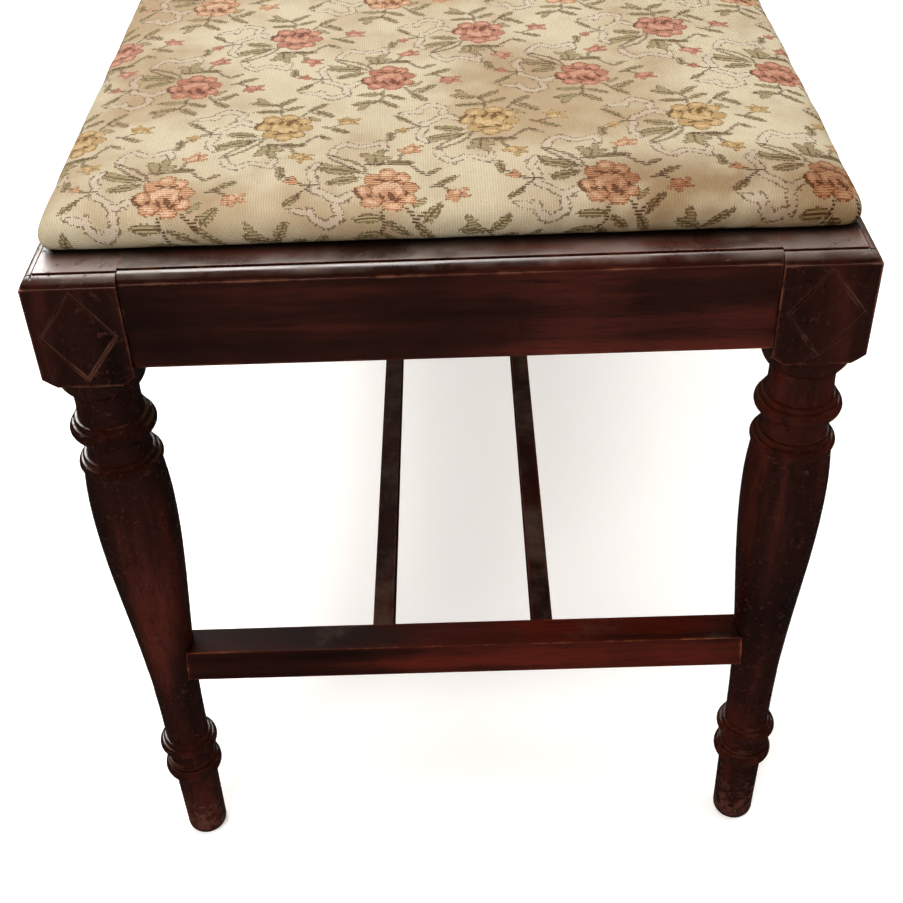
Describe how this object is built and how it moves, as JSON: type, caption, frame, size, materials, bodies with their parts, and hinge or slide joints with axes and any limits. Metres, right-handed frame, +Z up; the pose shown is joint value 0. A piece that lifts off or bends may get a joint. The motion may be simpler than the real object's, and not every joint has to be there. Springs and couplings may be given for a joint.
{
  "type": "upholstered bench",
  "caption": "Long bench with turned legs, a moulded rail frame, low H-shaped stretchers and a thin loose seat in floral tapestry that lifts out.",
  "frame": {"origin": "on the floor at the middle of the bench", "axes": "+X along the bench, +Y across it towards the back, +Z up; the pictured end is at -X"},
  "size_m": [0.92, 0.396, 0.4604],
  "materials": {
    "mahogany": "dark red-brown, polished, worn at edges",
    "pine": "bare, aged",
    "steel": "dull",
    "tack": "blued",
    "wadding": "cotton felt",
    "tapestry": "woven floral tapestry, faded and stained"
  },
  "bodies": {
    "frame": {"leg_left_front": "mahogany", "leg_left_back": "mahogany", "leg_right_front": "mahogany", "leg_right_back": "mahogany", "side_rail_front": "mahogany", "side_rail_back": "mahogany", "end_rail_left": "mahogany", "end_rail_right": "mahogany", "end_stretcher_left": "mahogany", "end_stretcher_right": "mahogany", "long_stretcher_front": "mahogany", "long_stretcher_back": "mahogany", "corner_block_left_front": "pine", "corner_block_left_back": "pine", "corner_block_right_front": "pine", "corner_block_right_back": "pine", "corner_block_screws": "steel"},
    "seat": {"seat_board_front": "pine", "seat_board_back": "pine", "seat_cleat_left": "pine", "seat_cleat_middle": "pine", "seat_cleat_right": "pine", "cleat_screws": "steel", "seat_wadding": "wadding", "tapestry_cover": "tapestry", "cover_tacks": "tack"}
  },
  "joints": [
    {"name": "seat_lift", "type": "slide", "parent": "frame", "child": "seat", "axis": [0, 0, 1], "range_m": [0, 0.08]}
  ]
}
